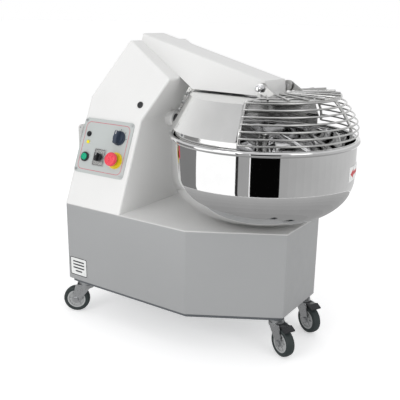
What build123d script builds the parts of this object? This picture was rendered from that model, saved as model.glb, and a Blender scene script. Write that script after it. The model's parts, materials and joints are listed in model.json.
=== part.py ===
from build123d import *
from math import acos, atan2, cos, degrees, radians, sin
import os

# Commercial fork dough mixer, millimetres. The floor is z = 0, the bowl end of the machine faces -Y,
# the column stands at +Y and the controls are on the -X side. Everything is drawn with the bowl axis
# as the Z axis, and each piece is moved by -MID_Y when it is written, to centre the machine.

os.makedirs("parts", exist_ok=True)

# ---------------------------------------------------------------- driving dimensions
SHEET = 2.0  # painted and stainless sheet
GAP = 0.3  # clearance between pieces that move past each other

# Base: a box with two bevelled front corners.
BASE_HALF = 233.0
BASE_FRONT_HALF = 100.0
BASE_FRONT_Y = -136.0
BASE_BEVEL_Y = 93.0
REAR_Y = 528.0
BASE_BOTTOM = 110.0
DECK = 347.0
TRAY_INSET = 10.0
TRAY_BOTTOM = 98.0
TRAY_WALL = 3.0
PAD_WIDE, PAD_LONG = 220.0, 300.0  # flat lifting pad under the tray
PAD_THICK = 3.0
PAD_Y = 200.0

# Column: side profile in Y and Z, and the lean of its left side, in mm of X per mm of height.
COLUMN_FRONT_Y = 320.0
OVERHANG_Z = 597.0
NOSE = (255.0, 715.5)
RIDGE = (428.0, 815.0)
REAR_TOP_Z = 646.0
LEFT_LEAN = 0.41

# Head: an inclined cover whose centre line passes over the bowl axis, turned a little in plan.
HEAD_TURN = 7.25
HEAD_HALF = 46.0
HEAD_LEAN = 0.21
HEAD_SLOPE = 0.236
HEAD_TOP = 733.4  # height of the top face over the bowl axis
HEAD_FRONT = -30.0
HEAD_REAR = 418.0
HEAD_BOTTOM = 688.0
HINGE_Q = -32.0  # guard hinge axis, along the head from the bowl axis
HINGE_Z = 709.0

# Bowl
BOWL_R = 251.0
BOWL_WALL = 2.5
RIM_Z = 575.0
RIM_BEAD = 7.5
KNEE_Z = 478.0
KNEE_A = 150.0
KNEE_B = 118.0
POST_R = 17.0
POST_TOP = 588.0
SPINDLE_R = 20.0

# Guards
CONE_LOW = (249.0, 600.0)
CONE_HIGH = (200.0, 687.0)
SKIRT_R = 238.0
SKIRT_LOW = 579.0
GUARD_HALF = 77.0  # half angle of the wire guard either side of the front
WIRE_R = 2.5
RINGS = ((249, 594), (249, 610), (245, 626), (236, 642), (225, 658), (213, 673), (200, 687.5))
DUCT_X = (52.0, 168.0)

# Fork: its shaft runs down and forward, parallel to the tilted top of the column.
FORK_X = 110.0
FORK_TILT = 30.0
FORK_AT = (290.0, 655.0)  # Y and Z of a point on the shaft axis, on the overhang
YOKE_ALONG = 271.0  # distances along the shaft from that point
TIP_ALONG = 420.0
YOKE_RADIUS = 58.0
TIP_RADIUS = 73.0
SHAFT_R = 18.0
GEARBOX_ALONG = -92.0

# Drive
DRIVE_Y = 430.0
DRIVE_Z = 235.0
FORK_BELT_X = 10.0
BOWL_BELT_X = -95.0
BELT_WIDTH = 16.0

# Casters
WHEEL_R = 40.0
WHEEL_WIDTH = 24.0
TRAIL = 32.0
AXLE_R = 5.0
FRONT_KINGPIN = (84.0, -110.0)
REAR_KINGPIN = (203.0, 482.0)
FRONT_HEADING = 244.0  # plan direction from kingpin to wheel
REAR_HEADING = 120.0

TYRE_ROUND = 4.0
REAR_SWING = radians(REAR_HEADING)
REAR_REACH = (
    REAR_KINGPIN[1]
    + (TRAIL + WHEEL_R - TYRE_ROUND) * sin(REAR_SWING)
    + (WHEEL_WIDTH / 2 - TYRE_ROUND) * abs(cos(REAR_SWING))
    + TYRE_ROUND
)
MID_Y = (REAR_REACH - (BOWL_R - 1 + RIM_BEAD)) / 2

# Control panel on the leaning side: centre, size and corner radius.
PANEL_Y = 430.0
PANEL_UP = 179.5  # along the slope, from the deck edge
PANEL_SIZE = (187.0, 164.0)
PANEL_CORNER = 12.0
PLATE = 2.5

# ---------------------------------------------------------------- planes
LEAN_ANGLE = degrees(atan2(LEFT_LEAN, 1))
lean_normal = Vector(-cos(radians(LEAN_ANGLE)), 0, sin(radians(LEAN_ANGLE)))
side_face = Plane(origin=(-BASE_HALF, 0, DECK), x_dir=(0, -1, 0), z_dir=lean_normal)

turn = radians(HEAD_TURN)
head_across = Vector(cos(turn), -sin(turn), 0)
head_along = Vector(sin(turn), cos(turn), 0)
head_profile = Plane(origin=(0, 0, 0), x_dir=head_along, z_dir=head_across)
head_plan = Plane(origin=(0, 0, 0), x_dir=head_across, z_dir=(0, 0, 1))

slope = atan2(RIDGE[1] - NOSE[1], RIDGE[0] - NOSE[0])
top_face = Plane(
    origin=(0, NOSE[0], NOSE[1]), x_dir=(1, 0, 0), z_dir=(0, -sin(slope), cos(slope))
)

tilt = radians(FORK_TILT)
fork_dir = Vector(0, -cos(tilt), -sin(tilt))
fork_up = Vector(0, -sin(tilt), cos(tilt))


def fork_plane(along, normal=fork_dir):
    """Plane across the fork shaft, its X to the right of the machine."""
    origin = Vector(FORK_X, FORK_AT[0], FORK_AT[1]) + fork_dir * along
    return Plane(origin=origin, x_dir=(1, 0, 0), z_dir=normal)


def fork_side():
    """Plane holding the shaft axis: local X runs along the shaft and local Y runs up and forward."""
    return Plane(
        origin=(FORK_X, FORK_AT[0], FORK_AT[1]), x_dir=fork_dir, z_dir=(1, 0, 0)
    )


def across_x(x, y, z):
    """Plane facing +X, for pulleys and shafts that lie across the machine."""
    return Plane(origin=(x, y, z), x_dir=(0, 1, 0), z_dir=(1, 0, 0))


def half_plane(angle):
    """Upright plane through the bowl axis, its X outwards at an angle from +X."""
    a = radians(angle)
    return Plane(origin=(0, 0, 0), x_dir=(cos(a), sin(a), 0), z_dir=(sin(a), -cos(a), 0))


def save(part, name):
    placed = part.moved(Location((0, -MID_Y, 0)))
    placed.label = name
    export_step(placed, f"parts/{name}.step")


base_corners = [
    (-BASE_HALF, REAR_Y),
    (-BASE_HALF, BASE_BEVEL_Y),
    (-BASE_FRONT_HALF, BASE_FRONT_Y),
    (BASE_FRONT_HALF, BASE_FRONT_Y),
    (BASE_HALF, BASE_BEVEL_Y),
    (BASE_HALF, REAR_Y),
]


def base_outline(inset, corner):
    """Plan outline of the base, moved inwards and with rounded corners."""
    with BuildSketch(mode=Mode.PRIVATE) as plan:
        with BuildLine():
            Polyline(*base_corners, close=True)
        make_face()
        if inset:
            offset(amount=-inset, kind=Kind.INTERSECTION)
        fillet(plan.vertices(), corner)
    return plan.sketch


# ---------------------------------------------------------------- base
COLUMN_OPENING = (-170.0, 205.0, 340.0, 505.0)
SPINDLE_HOLE_R = 34.0
GLAND = (-150.0, 170.0)  # x and z of the cable inlet on the rear face
TRAY_TOP = 130.0

with BuildPart() as base_shell:
    with BuildSketch(Plane.XY.offset(BASE_BOTTOM)):
        add(base_outline(0, 8))
    extrude(amount=DECK - BASE_BOTTOM)
    fillet(base_shell.faces().sort_by(Axis.Z)[-1].edges(), 4)
    with BuildSketch(Plane.XY.offset(BASE_BOTTOM + SHEET)):
        add(base_outline(SHEET, 6))
    extrude(amount=DECK - BASE_BOTTOM - 2 * SHEET, mode=Mode.SUBTRACT)
    with BuildSketch(Plane.XY.offset(BASE_BOTTOM)):
        add(base_outline(TRAY_INSET, 5))
    extrude(amount=SHEET, mode=Mode.SUBTRACT)
    x0, x1, y0, y1 = COLUMN_OPENING
    with BuildSketch(Plane.XY.offset(DECK - SHEET)):
        with Locations(((x0 + x1) / 2, (y0 + y1) / 2)):
            RectangleRounded(x1 - x0, y1 - y0, 10)
        Circle(SPINDLE_HOLE_R)
    extrude(amount=SHEET, mode=Mode.SUBTRACT)
    with BuildSketch(Plane.XZ.offset(-REAR_Y)):
        with Locations(GLAND):
            Circle(8)
    extrude(amount=2 * SHEET, mode=Mode.SUBTRACT)
save(base_shell.part, "base_shell")

STEM_R = 6.0
kingpins = {
    "front_left": (-FRONT_KINGPIN[0], FRONT_KINGPIN[1], FRONT_HEADING),
    "front_right": (FRONT_KINGPIN[0], FRONT_KINGPIN[1], FRONT_HEADING),
    "rear_left": (-REAR_KINGPIN[0], REAR_KINGPIN[1], REAR_HEADING),
    "rear_right": (REAR_KINGPIN[0], REAR_KINGPIN[1], REAR_HEADING),
}
kingpin_places = [(x, y) for x, y, heading in kingpins.values()]

with BuildPart() as base_tray:
    with BuildSketch(Plane.XY.offset(TRAY_BOTTOM)):
        add(base_outline(TRAY_INSET, 5))
    extrude(amount=TRAY_TOP - TRAY_BOTTOM)
    with BuildSketch(Plane.XY.offset(TRAY_BOTTOM + 4)):
        add(base_outline(TRAY_INSET + TRAY_WALL, 4))
    extrude(amount=TRAY_TOP - TRAY_BOTTOM, mode=Mode.SUBTRACT)
    with Locations(Plane.XY.offset(TRAY_BOTTOM)):
        with Locations(*kingpin_places):
            Hole(STEM_R, depth=20)
    with BuildSketch(Plane.XY.offset(TRAY_BOTTOM - PAD_THICK)):
        with Locations((0, PAD_Y)):
            RectangleRounded(PAD_WIDE, PAD_LONG, 12)
    extrude(amount=PAD_THICK)
save(base_tray.part, "base_tray")

# ---------------------------------------------------------------- column
column_profile = [
    (REAR_Y, DECK),
    (COLUMN_FRONT_Y, DECK),
    (COLUMN_FRONT_Y, OVERHANG_Z),
    NOSE,
    RIDGE,
    (REAR_Y, REAR_TOP_Z),
]


def column_block(inset):
    """The closed outer form of the column, or the space inside its sheet."""
    with BuildPart(mode=Mode.PRIVATE) as block:
        with BuildSketch(Plane.YZ) as profile:
            with BuildLine():
                Polyline(*column_profile, close=True)
            make_face()
            if inset:
                offset(amount=-inset, kind=Kind.INTERSECTION)
            bends = [v for v in profile.vertices() if v.Y > DECK + 2 * SHEET]
            fillet(bends, 9 - inset)
        extrude(amount=BASE_HALF - inset, both=True)
        split(bisect_by=side_face.offset(-inset), keep=Keep.BOTTOM)
        left = block.faces().sort_by(Axis.X)[0]
        right = block.faces().sort_by(Axis.X)[-1]
        rims = [e for e in left.edges() + right.edges() if e.center().Z > DECK + 2 * SHEET]
        fillet(rims, 6 - inset)
    return block.part


REAR_DOOR = (0.0, 470.0, 330.0, 200.0)  # centre x and z, width and height
PANEL_CUTOUT = (150.0, 130.0)

column_outer = column_block(0)
with BuildPart() as column_shell:
    add(column_outer)
    add(column_block(SHEET), mode=Mode.SUBTRACT)
    x0, x1, y0, y1 = COLUMN_OPENING
    with BuildSketch(Plane.XY.offset(DECK)):
        with Locations(((x0 + x1) / 2, (y0 + y1) / 2)):
            RectangleRounded(x1 - x0, y1 - y0, 10)
    extrude(amount=SHEET, mode=Mode.SUBTRACT)
    # rear access opening
    cx, cz, width, height = REAR_DOOR
    with BuildSketch(Plane(origin=(cx, REAR_Y + 1, cz), x_dir=(-1, 0, 0), z_dir=(0, 1, 0))):
        RectangleRounded(width - 30, height - 30, 12)
    extrude(amount=-20, mode=Mode.SUBTRACT)
    # opening behind the control panel
    with BuildSketch(side_face.offset(1)):
        with Locations((-PANEL_Y, PANEL_UP)):
            RectangleRounded(*PANEL_CUTOUT, 8)
    extrude(amount=-8, mode=Mode.SUBTRACT)
    # hole for the fork shaft
    with BuildSketch(fork_plane(-30)):
        Circle(SHAFT_R + 8)
    extrude(amount=60, mode=Mode.SUBTRACT)
save(column_shell.part, "column_shell")

with BuildPart() as rear_cover:
    cx, cz, width, height = REAR_DOOR
    rear_plane = Plane(origin=(cx, REAR_Y, cz), x_dir=(-1, 0, 0), z_dir=(0, 1, 0))
    with BuildSketch(rear_plane):
        RectangleRounded(width, height, 10)
    extrude(amount=SHEET)
    with BuildSketch(rear_plane):
        with GridLocations(70, 12, 3, 8):
            SlotOverall(50, 5)
        with GridLocations(width - 16, height - 16, 2, 2):
            Circle(2.6)
    extrude(amount=SHEET, mode=Mode.SUBTRACT)
save(rear_cover.part, "rear_cover")

with BuildPart() as cover_screws:
    with BuildSketch(rear_plane.offset(SHEET)):
        with GridLocations(width - 16, height - 16, 2, 2):
            Circle(5)
    extrude(amount=2.4)
    with BuildSketch(rear_plane.offset(SHEET + 2.4)):
        with GridLocations(width - 16, height - 16, 2, 2):
            RegularPolygon(2.2, 6)
    extrude(amount=-1.4, mode=Mode.SUBTRACT)
    with BuildSketch(rear_plane.offset(SHEET)):
        with GridLocations(width - 16, height - 16, 2, 2):
            Circle(2.5)
    extrude(amount=-SHEET)
save(cover_screws.part, "cover_screws")

BOSS = (4.0, 592.0)  # x and z of the guard switch boss
BOSS_END_Y = 296.0
PLUG_Y = 335.7
PLUG_UP = 316.6
boss_plane = Plane(origin=(BOSS[0], BOSS_END_Y, BOSS[1]), x_dir=(1, 0, 0), z_dir=(0, 1, 0))

with BuildPart() as switch_boss:
    with BuildSketch(boss_plane):
        Circle(23)
    extrude(amount=40)
    fillet(switch_boss.faces().sort_by(Axis.Y)[0].edges(), 4)
    with BuildSketch(boss_plane):
        Circle(14)
    extrude(amount=12, mode=Mode.SUBTRACT)
    add(column_outer, mode=Mode.SUBTRACT)
save(switch_boss.part, "switch_boss")

with BuildPart() as black_plugs:
    with BuildSketch(boss_plane):
        Circle(14)
    extrude(amount=12)
    with BuildSketch(boss_plane):
        Circle(13)
    extrude(amount=-1.5)
    with BuildSketch(side_face):
        with Locations((-PLUG_Y, PLUG_UP)):
            Circle(9.5)
    extrude(amount=2.5)
    fillet(black_plugs.faces().sort_by(Axis.X)[0].edges(), 1.5)
save(black_plugs.part, "black_plugs")

# ---------------------------------------------------------------- head
def head_block(inset):
    """The closed outer form of the head cover, or a longer form of the space inside its sheet."""
    bottom = HEAD_BOTTOM - 20 * inset
    front = HEAD_FRONT + inset
    rear = HEAD_REAR - inset
    drop = inset / cos(atan2(HEAD_SLOPE, 1))
    lean = Vector(0, 0, HEAD_LEAN) - head_along * (HEAD_LEAN * HEAD_SLOPE)
    with BuildPart(mode=Mode.PRIVATE) as block:
        with BuildSketch(head_profile):
            with BuildLine():
                Polyline(
                    (front, bottom),
                    (front, HEAD_TOP + HEAD_SLOPE * front - drop),
                    (rear, HEAD_TOP + HEAD_SLOPE * rear - drop),
                    (rear + 4, bottom),
                    close=True,
                )
            make_face()
        extrude(amount=150, both=True)
        for side in (-1, 1):
            origin = head_across * (side * HEAD_HALF) + Vector(0, 0, HEAD_TOP)
            wall = Plane(origin=origin, z_dir=head_across * side + lean)
            split(bisect_by=wall.offset(-inset), keep=Keep.BOTTOM)
        if not inset:
            split(bisect_by=top_face, keep=Keep.TOP)
        ridges = [e for e in block.edges() if e.length > 300]
        fillet(ShapeList(ridges).sort_by(Axis.Z)[-2:], 5 - inset)
    return block.part


with BuildPart() as head_cover:
    add(head_block(0))
    add(head_block(SHEET), mode=Mode.SUBTRACT)
save(head_cover.part, "head_cover")

with BuildPart() as head_frame:
    with BuildSketch(head_profile):
        with BuildLine():
            Polyline((-26, HEAD_BOTTOM), (-26, 716), (330, 800), (330, HEAD_BOTTOM), close=True)
        make_face()
    extrude(amount=30, both=True)
    with BuildSketch(head_profile):
        with BuildLine():
            Polyline((-22, HEAD_BOTTOM + 4), (-22, 711), (340, 796.5), (340, HEAD_BOTTOM + 4), close=True)
        make_face()
    extrude(amount=26, both=True, mode=Mode.SUBTRACT)
    split(bisect_by=top_face, keep=Keep.TOP)
save(head_frame.part, "head_frame")

LUG_P = 55.0  # inner face of each hinge lug, across from the head's centre line
LUG_THICK = 5.0
LUG_R = 14.0
LUG_FOOT_Z = HEAD_BOTTOM - 3.2
PIVOT_R = 5.0


def head_side_plane(p):
    """Plane across the head at p, its X along the head and its Y upwards."""
    return Plane(origin=head_across * p, x_dir=head_along, z_dir=head_across)


with BuildPart() as hinge_lugs:
    for side in (-1, 1):
        inner = side * LUG_P if side > 0 else -LUG_P - LUG_THICK
        with BuildSketch(head_side_plane(inner)):
            with Locations((HINGE_Q, HINGE_Z)):
                Circle(LUG_R)
            with Locations((HINGE_Q + LUG_R / 2 + 2, (HINGE_Z + LUG_FOOT_Z) / 2)):
                Rectangle(LUG_R - 4, HINGE_Z - LUG_FOOT_Z)
        extrude(amount=LUG_THICK)
        with BuildSketch(head_plan.offset(LUG_FOOT_Z)):
            with Locations((side * (LUG_P + 8) / 2, HINGE_Q + LUG_R / 2 + 2)):
                Rectangle(LUG_P - 8, LUG_R - 4)
        extrude(amount=3)
    with BuildSketch(head_side_plane(-LUG_P - LUG_THICK)):
        with Locations((HINGE_Q, HINGE_Z)):
            Circle(PIVOT_R + 0.05)
    extrude(amount=2 * (LUG_P + LUG_THICK), mode=Mode.SUBTRACT)
save(hinge_lugs.part, "hinge_lugs")

# ---------------------------------------------------------------- fixed guard
CONE_SHEET = 1.5
LID_TOP = HEAD_BOTTOM - 4.0
guard_start = 270 + GUARD_HALF
guard_turn = 360 - 2 * GUARD_HALF
overhang_slope = (COLUMN_FRONT_Y - NOSE[0]) / (NOSE[1] - OVERHANG_Z)


def overhang_y(z):
    """Y of the column's overhanging front face at a height."""
    return COLUMN_FRONT_Y - (z - OVERHANG_Z) * overhang_slope


# duct round the fork shaft, from the cone back to the column
duct_low, duct_high = CONE_LOW[1] - CONE_SHEET, LID_TOP
duct_width = DUCT_X[1] - DUCT_X[0]
duct_x = (DUCT_X[0] + DUCT_X[1]) / 2
with BuildPart() as duct:
    with BuildSketch(Plane.YZ.offset(DUCT_X[0])):
        with BuildLine():
            Polyline(
                (150, duct_low),
                (overhang_y(duct_low) - 0.2, duct_low),
                (overhang_y(duct_high) - 0.2, duct_high),
                (150, duct_high),
                close=True,
            )
        make_face()
    extrude(amount=duct_width)
    with BuildSketch(Plane.XZ.offset(-100)):
        with Locations((duct_x, duct_low - 10)):
            Rectangle(duct_width - 2 * CONE_SHEET, 2 * (duct_high - duct_low + 10 - CONE_SHEET))
    extrude(amount=-400, mode=Mode.SUBTRACT)
    with BuildSketch(Plane.XY.offset(duct_low - 1)):
        Circle(CONE_HIGH[0])
    extrude(amount=duct_high - duct_low + 2, mode=Mode.SUBTRACT)

with BuildPart() as fixed_guard:
    with BuildSketch(half_plane(guard_start)):
        with BuildLine():
            Polyline(
                (SKIRT_R, SKIRT_LOW),
                (SKIRT_R, CONE_LOW[1]),
                (CONE_LOW[0] - CONE_SHEET, CONE_LOW[1]),
                (CONE_HIGH[0] - CONE_SHEET, LID_TOP - CONE_SHEET),
                (60, LID_TOP - CONE_SHEET),
                (60, LID_TOP),
                (CONE_HIGH[0], LID_TOP),
                (CONE_LOW[0], CONE_LOW[1] - CONE_SHEET),
                (SKIRT_R + CONE_SHEET, CONE_LOW[1] - CONE_SHEET),
                (SKIRT_R + CONE_SHEET, SKIRT_LOW),
                close=True,
            )
        make_face()
    revolve(axis=Axis.Z, revolution_arc=guard_turn)
    with BuildSketch(Plane.XY.offset(CONE_LOW[1])):
        with Locations((duct_x, 220)):
            Rectangle(duct_width - 2 * CONE_SHEET, 140)
    extrude(amount=LID_TOP - CONE_LOW[1] - 2 * CONE_SHEET, mode=Mode.SUBTRACT)
    add(duct.part)
    # notch that the fork shaft passes through
    with BuildSketch(fork_plane(10)):
        Circle(SHAFT_R + 4)
    extrude(amount=150, mode=Mode.SUBTRACT)
save(fixed_guard.part, "fixed_guard")

BOLT_UP = (18.0, 46.0, 74.0)  # bolt rows up the overhang
FLANGE = 20.0
overhang_normal = Vector(0, -(NOSE[1] - OVERHANG_Z), -(COLUMN_FRONT_Y - NOSE[0])).normalized()
overhang_face = Plane(
    origin=(0, COLUMN_FRONT_Y, OVERHANG_Z), x_dir=(1, 0, 0), z_dir=overhang_normal
)
flange_x = (DUCT_X[0] - FLANGE / 2, DUCT_X[1] + FLANGE / 2)
bolt_places = [(x, up) for x in flange_x for up in BOLT_UP]
flange_top = (LID_TOP - OVERHANG_Z) / cos(atan2(overhang_slope, 1))

with BuildPart() as guard_flanges:
    with BuildSketch(overhang_face):
        with Locations(*[(x, (flange_top + 4) / 2) for x in flange_x]):
            Rectangle(FLANGE, flange_top - 4)
        with Locations(*bolt_places):
            Circle(3.3, mode=Mode.SUBTRACT)
    extrude(amount=CONE_SHEET)
save(guard_flanges.part, "guard_flanges")

with BuildPart() as guard_bolts:
    with BuildSketch(overhang_face.offset(CONE_SHEET)):
        with Locations(*bolt_places):
            RegularPolygon(5.5, 6)
    extrude(amount=4)
    with BuildSketch(overhang_face.offset(CONE_SHEET)):
        with Locations(*bolt_places):
            Circle(3.2)
    extrude(amount=-CONE_SHEET)
save(guard_bolts.part, "guard_bolts")

# ---------------------------------------------------------------- bowl
KNEE_R = BOWL_R - KNEE_A
BOWL_BOTTOM = KNEE_Z - KNEE_B
FOOT_R = 66.0
FOOT_BOTTOM = DECK + 4.0

with BuildPart() as bowl:
    with BuildSketch(Plane.XZ) as wall:
        with BuildLine():
            Line((0, BOWL_BOTTOM), (KNEE_R, BOWL_BOTTOM))
            EllipticalCenterArc((KNEE_R, KNEE_Z), KNEE_A, KNEE_B, start_angle=270, arc_size=90)
            Polyline((BOWL_R, KNEE_Z), (BOWL_R, RIM_Z), (BOWL_R - BOWL_WALL, RIM_Z))
            Line((BOWL_R - BOWL_WALL, RIM_Z), (BOWL_R - BOWL_WALL, KNEE_Z))
            EllipticalCenterArc(
                (KNEE_R, KNEE_Z),
                KNEE_A - BOWL_WALL,
                KNEE_B - BOWL_WALL,
                start_angle=270,
                arc_size=90,
            )
            Polyline((KNEE_R, BOWL_BOTTOM + BOWL_WALL), (0, BOWL_BOTTOM + BOWL_WALL), (0, BOWL_BOTTOM))
        make_face()
        with Locations((BOWL_R - 1, RIM_Z)):
            Circle(RIM_BEAD)
    revolve(axis=Axis.Z)
save(bowl.part, "bowl")

with BuildPart() as bowl_foot:
    with BuildSketch(Plane.XY.offset(FOOT_BOTTOM)):
        Circle(FOOT_R)
        Circle(SPINDLE_R, mode=Mode.SUBTRACT)
    extrude(amount=BOWL_BOTTOM - FOOT_BOTTOM)
    chamfer(bowl_foot.faces().sort_by(Axis.Z)[0].edges().sort_by(SortBy.RADIUS)[-1], 2)
save(bowl_foot.part, "bowl_foot")

with BuildPart() as bowl_post:
    with BuildSketch(Plane.XZ):
        with BuildLine():
            floor = BOWL_BOTTOM + BOWL_WALL
            Polyline((0, floor), (46, floor), (46, floor + 4), (POST_R, floor + 70), (POST_R, POST_TOP - 8))
            Spline(
                (POST_R, POST_TOP - 8),
                (POST_R * 0.7, POST_TOP - 2.5),
                (0, POST_TOP),
                tangents=((0, 1), (-1, 0)),
            )
            Line((0, POST_TOP), (0, floor))
        make_face()
    revolve(axis=Axis.Z)
save(bowl_post.part, "bowl_post")

STICKER_Z = 503.0
STICKER_SIZE = (88.0, 38.0)
STICKER_START = -91.0
with BuildPart() as arrow_sticker:
    with BuildSketch(half_plane(STICKER_START)):
        with Locations((BOWL_R + 0.25, STICKER_Z)):
            Rectangle(0.5, STICKER_SIZE[1])
    revolve(axis=Axis.Z, revolution_arc=degrees(STICKER_SIZE[0] / BOWL_R))
save(arrow_sticker.part, "arrow_sticker")

# ---------------------------------------------------------------- gears and pulleys
TOOTH = 3.0


def crown_wheel(plane, radius, teeth, bore):
    """Bevel wheel drawn as a disc with teeth on one face; the plane is the tooth tip plane, facing out."""
    with BuildPart(mode=Mode.PRIVATE) as gear:
        with BuildSketch(plane.offset(-TOOTH)):
            Circle(radius + 7)
            Circle(bore, mode=Mode.SUBTRACT)
        extrude(amount=-9)
        with BuildSketch(plane.offset(-TOOTH)):
            Circle(bore + 8)
            Circle(bore, mode=Mode.SUBTRACT)
        extrude(amount=-18)
        with BuildSketch(plane.offset(-TOOTH)):
            with PolarLocations(radius, teeth):
                Rectangle(12, 3.0)
        extrude(amount=TOOTH)
    return gear.part


def spur_pinion(plane, radius, teeth, bore, width):
    """Pinion centred on a plane across its shaft, with its tooth tips at a radius."""
    with BuildPart(mode=Mode.PRIVATE) as gear:
        with BuildSketch(plane.offset(-width / 2)):
            Circle(radius - TOOTH)
            with PolarLocations(radius - TOOTH / 2 - 0.5, teeth):
                Rectangle(TOOTH + 1, 2.8)
            Circle(bore, mode=Mode.SUBTRACT)
        extrude(amount=width)
    return gear.part


def pulley(plane, radius, bore):
    """Flanged pulley centred on a plane across its shaft."""
    half = BELT_WIDTH / 2 + 0.5
    with BuildPart(mode=Mode.PRIVATE) as wheel:
        with BuildSketch(plane.offset(-half)):
            Circle(radius)
            Circle(bore, mode=Mode.SUBTRACT)
        extrude(amount=2 * half)
        for start in (-half - 2.5, half):
            with BuildSketch(plane.offset(start)):
                Circle(radius + 5)
                Circle(bore, mode=Mode.SUBTRACT)
            extrude(amount=2.5)
    return wheel.part


def belt(x, start, start_r, end, end_r):
    """Closed belt loop round two pulleys whose centres are given in Y and Z."""
    thick = 4.0
    with BuildPart(mode=Mode.PRIVATE) as loop:
        with BuildSketch(across_x(x - BELT_WIDTH / 2, 0, 0)):
            with Locations(start):
                Circle(start_r + GAP + thick)
            with Locations(end):
                Circle(end_r + GAP + thick)
            make_hull()
        extrude(amount=BELT_WIDTH)
        with BuildSketch(across_x(x - BELT_WIDTH / 2, 0, 0)):
            with Locations(start):
                Circle(start_r + GAP)
            with Locations(end):
                Circle(end_r + GAP)
            make_hull()
        extrude(amount=BELT_WIDTH, mode=Mode.SUBTRACT)
    return loop.part


INPUT_R = 12.0
FORK_PINION_R = 24.0
FORK_WHEEL_R = 36.0
BOWL_PINION_R = 28.0
BOWL_WHEEL_R = 56.0
MOTOR_PULLEY_R = 25.0
FORK_PULLEY_R = 52.0
BOWL_PULLEY_R = 90.0
MESH_GAP = 0.5

gearbox_at = Vector(FORK_X, FORK_AT[0], FORK_AT[1]) + fork_dir * GEARBOX_ALONG

# ---------------------------------------------------------------- fork and its shaft
HUB_FROM = 252.0
HUB_TO = 292.0
PRONG_R = 9.0

with BuildPart() as fork:
    with BuildSketch(fork_plane(HUB_FROM)):
        Circle(30)
    extrude(amount=HUB_TO - HUB_FROM)
    fillet(fork.edges().filter_by(GeomType.CIRCLE), 7)
    for side in (-1, 1):
        with BuildLine(fork_side()) as path:
            FilletPolyline(
                (YOKE_ALONG, side * 20),
                (YOKE_ALONG, side * YOKE_RADIUS),
                (TIP_ALONG - PRONG_R, side * TIP_RADIUS),
                radius=26,
            )
        start = path.line @ 0
        with BuildSketch(Plane(origin=start, z_dir=path.line % 0)):
            Circle(PRONG_R)
        sweep(path=path.line)
        with Locations(path.line @ 1):
            Sphere(PRONG_R)
    with BuildSketch(fork_plane(HUB_FROM)):
        Circle(SHAFT_R)
    extrude(amount=22, mode=Mode.SUBTRACT)
save(fork.part, "fork")

with BuildPart() as fork_shaft:
    with BuildSketch(fork_plane(GEARBOX_ALONG - 50)):
        Circle(SHAFT_R)
    extrude(amount=HUB_FROM + 22 - GEARBOX_ALONG + 50)
    tips = fork_plane(GEARBOX_ALONG + FORK_PINION_R + MESH_GAP, -fork_dir)
    add(crown_wheel(tips, FORK_WHEEL_R, 24, SHAFT_R))
save(fork_shaft.part, "fork_shaft")

# ---------------------------------------------------------------- gearboxes and shafts
WALL = 6.0
FORK_BOX = (120.0, 104.0, 116.0)  # across, along the shaft, and square to both
BOWL_BOX = (140.0, 140.0, 130.0)
BOWL_BOX_LOW = 172.0


def shell_box(plane, size, length):
    """Hollow housing that starts on a plane and runs along its normal."""
    with BuildPart(mode=Mode.PRIVATE) as box:
        with BuildSketch(plane):
            RectangleRounded(*size, 12)
        extrude(amount=length)
        with BuildSketch(plane.offset(WALL)):
            RectangleRounded(size[0] - 2 * WALL, size[1] - 2 * WALL, 7)
        extrude(amount=length - 2 * WALL, mode=Mode.SUBTRACT)
    return box.part


with BuildPart() as fork_gearbox:
    box_start = GEARBOX_ALONG - FORK_BOX[1] / 2
    add(shell_box(fork_plane(box_start), (FORK_BOX[0], FORK_BOX[2]), FORK_BOX[1]))
    # nose that carries the shaft to the overhang
    with BuildSketch(fork_plane(GEARBOX_ALONG + FORK_BOX[1] / 2)):
        Circle(SHAFT_R + 14)
    extrude(amount=-(GEARBOX_ALONG + FORK_BOX[1] / 2) - 3)
    with BuildSketch(fork_plane(box_start - 1)):
        Circle(SHAFT_R + 0.05)
    extrude(amount=FORK_BOX[1] - GEARBOX_ALONG + 20, mode=Mode.SUBTRACT)
    with BuildSketch(across_x(FORK_X - FORK_BOX[0] / 2 - 1, gearbox_at.Y, gearbox_at.Z)):
        Circle(INPUT_R + 0.05)
    extrude(amount=WALL + 2, mode=Mode.SUBTRACT)
save(fork_gearbox.part, "fork_gearbox")

with BuildPart() as fork_seal:
    with BuildSketch(fork_plane(-2.0)):
        Circle(SHAFT_R + 11)
        Circle(SHAFT_R + GAP, mode=Mode.SUBTRACT)
    extrude(amount=9)
    chamfer(fork_seal.edges().filter_by(GeomType.CIRCLE).sort_by(Axis.Y)[0], 1.5)
    add(column_outer, mode=Mode.SUBTRACT)
save(fork_seal.part, "fork_seal")

with BuildPart() as fork_input:
    pinion_x = FORK_X - FORK_WHEEL_R
    with BuildSketch(across_x(FORK_BELT_X - 15, gearbox_at.Y, gearbox_at.Z)):
        Circle(INPUT_R)
    extrude(amount=pinion_x + 10 - FORK_BELT_X + 15)
    add(spur_pinion(across_x(pinion_x, gearbox_at.Y, gearbox_at.Z), FORK_PINION_R, 16, INPUT_R, 14))
    add(pulley(across_x(FORK_BELT_X, gearbox_at.Y, gearbox_at.Z), FORK_PULLEY_R, INPUT_R))
save(fork_input.part, "fork_input")

with BuildPart() as bowl_input:
    with BuildSketch(across_x(BOWL_BELT_X - 15, 0, DRIVE_Z)):
        Circle(INPUT_R)
    extrude(amount=10 - BOWL_WHEEL_R - BOWL_BELT_X + 15)
    add(spur_pinion(across_x(-BOWL_WHEEL_R, 0, DRIVE_Z), BOWL_PINION_R, 14, INPUT_R, 14))
    add(pulley(across_x(BOWL_BELT_X, 0, DRIVE_Z), BOWL_PULLEY_R, INPUT_R))
save(bowl_input.part, "bowl_input")

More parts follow.
